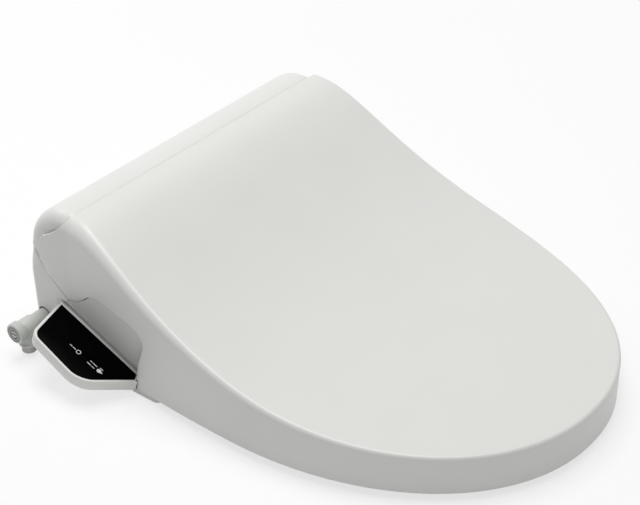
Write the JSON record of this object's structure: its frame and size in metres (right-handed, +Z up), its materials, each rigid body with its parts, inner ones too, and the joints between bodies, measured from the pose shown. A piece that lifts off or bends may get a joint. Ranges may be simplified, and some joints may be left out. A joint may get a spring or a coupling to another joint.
{
  "type": "electric bidet seat",
  "caption": "White bidet seat with a sloping lid over a heated ring, a rear housing with wash wands and warm air, a side arm with a dark touch panel and a water inlet tee.",
  "frame": {"origin": "midway between the two bowl bolts, on the plane of the bowl's rim", "axes": "+Z up, -Y towards the user's knees, +X the user's left when seated"},
  "size_m": [0.4257, 0.5125, 0.1543],
  "materials": {
    "white_shell": "glossy moulded white",
    "foam_core": "skinned insulating foam",
    "white_inner": "satin moulded white",
    "black_glass": "polished black panel",
    "grey_plastic": "moulded light grey",
    "rubber": "soft pale grey rubber",
    "wand_plastic": "smooth white",
    "gear_nylon": "natural nylon",
    "inner_plastic": "plain grey moulding",
    "steel": "turned",
    "heater_foil": "foil",
    "circuit_board": "solder mask"
  },
  "bodies": {
    "mount": {"mounting_plate": "grey_plastic"},
    "base": {"base_tray": "white_inner", "rear_cover": "white_shell", "base_pads": "rubber", "housing_screws": "steel", "hinge_bushes": "gear_nylon", "lid_damper": "inner_plastic", "seat_damper": "inner_plastic", "arm_shell": "white_shell", "arm_cover": "white_inner", "control_panel": "black_glass", "panel_board": "circuit_board", "inlet_tee": "grey_plastic", "inlet_seal": "rubber", "filter_cap": "grey_plastic", "solenoid_valve": "inner_plastic", "feed_pump": "inner_plastic", "water_tank": "inner_plastic", "tank_heater": "steel", "tank_hose": "rubber", "diverter_valve": "inner_plastic", "nozzle_guide": "gear_nylon", "rear_wand_motor": "steel", "front_wand_motor": "steel", "blower_housing": "inner_plastic", "blower_motor": "steel", "dryer_duct": "inner_plastic", "main_board": "circuit_board", "power_supply": "circuit_board", "cord_gland": "grey_plastic"},
    "seat": {"seat_top": "white_shell", "seat_bottom": "foam_core", "seat_heater": "heater_foil", "seat_bumpers": "rubber"},
    "lid": {"lid": "white_shell", "lid_bumpers": "rubber", "hinge_pin_left": "steel", "hinge_pin_right": "steel"},
    "rear_wand": {"rear_wand": "wand_plastic", "rear_wand_tip": "wand_plastic"},
    "front_wand": {"front_wand": "wand_plastic", "front_wand_tip": "wand_plastic"},
    "rear_gear": {"rear_drive_gear": "gear_nylon"},
    "front_gear": {"front_drive_gear": "gear_nylon"},
    "blower_wheel": {"blower_wheel": "gear_nylon"},
    "dryer_flap": {"dryer_flap": "white_inner"},
    "release_button": {"release_button": "white_inner"}
  },
  "joints": [
    {"name": "unit_slide", "type": "slide", "parent": "mount", "child": "base", "axis": [0, -1, 0], "range_m": [0, 0.045]},
    {"name": "seat_hinge", "type": "hinge", "parent": "base", "child": "seat", "pos_m": [0, 0.002, 0.106], "axis": [-1, 0, 0], "range_deg": [0, 105]},
    {"name": "lid_hinge", "type": "hinge", "parent": "seat", "child": "lid", "pos_m": [0, 0.002, 0.106], "axis": [1, 0, 0], "range_deg": [-105, 0]},
    {"name": "rear_wand_slide", "type": "slide", "parent": "base", "child": "rear_wand", "axis": [0, -0.7986, -0.6018], "range_m": [0, 0.08]},
    {"name": "rear_gear_spin", "type": "hinge", "parent": "base", "child": "rear_gear", "pos_m": [-0.012, -0.07268, 0.04254], "axis": [-1, 0, 0], "range_deg": [-5, 580]},
    {"name": "front_wand_slide", "type": "slide", "parent": "base", "child": "front_wand", "axis": [0, -0.7986, -0.6018], "range_m": [0, 0.08]},
    {"name": "front_gear_spin", "type": "hinge", "parent": "base", "child": "front_gear", "pos_m": [0.012, -0.07268, 0.04254], "axis": [-1, 0, 0], "range_deg": [-5, 580]},
    {"name": "blower_spin", "type": "hinge", "parent": "base", "child": "blower_wheel", "pos_m": [0.076, -0.018, 0.066], "axis": [1, 0, 0], "continuous": true},
    {"name": "flap_hinge", "type": "hinge", "parent": "base", "child": "dryer_flap", "pos_m": [0.074, -0.0945, 0.0131], "axis": [-1, 0, 0], "range_deg": [0, 70]},
    {"name": "release_press", "type": "slide", "parent": "base", "child": "release_button", "axis": [-1, 0, 0], "range_m": [0, 0.003], "stiffness_N_per_m": 700}
  ],
  "couplings": [
    {"joint": "rear_gear_spin", "follows": "rear_wand_slide", "rad_per_m": 125},
    {"joint": "front_gear_spin", "follows": "front_wand_slide", "rad_per_m": 125}
  ]
}
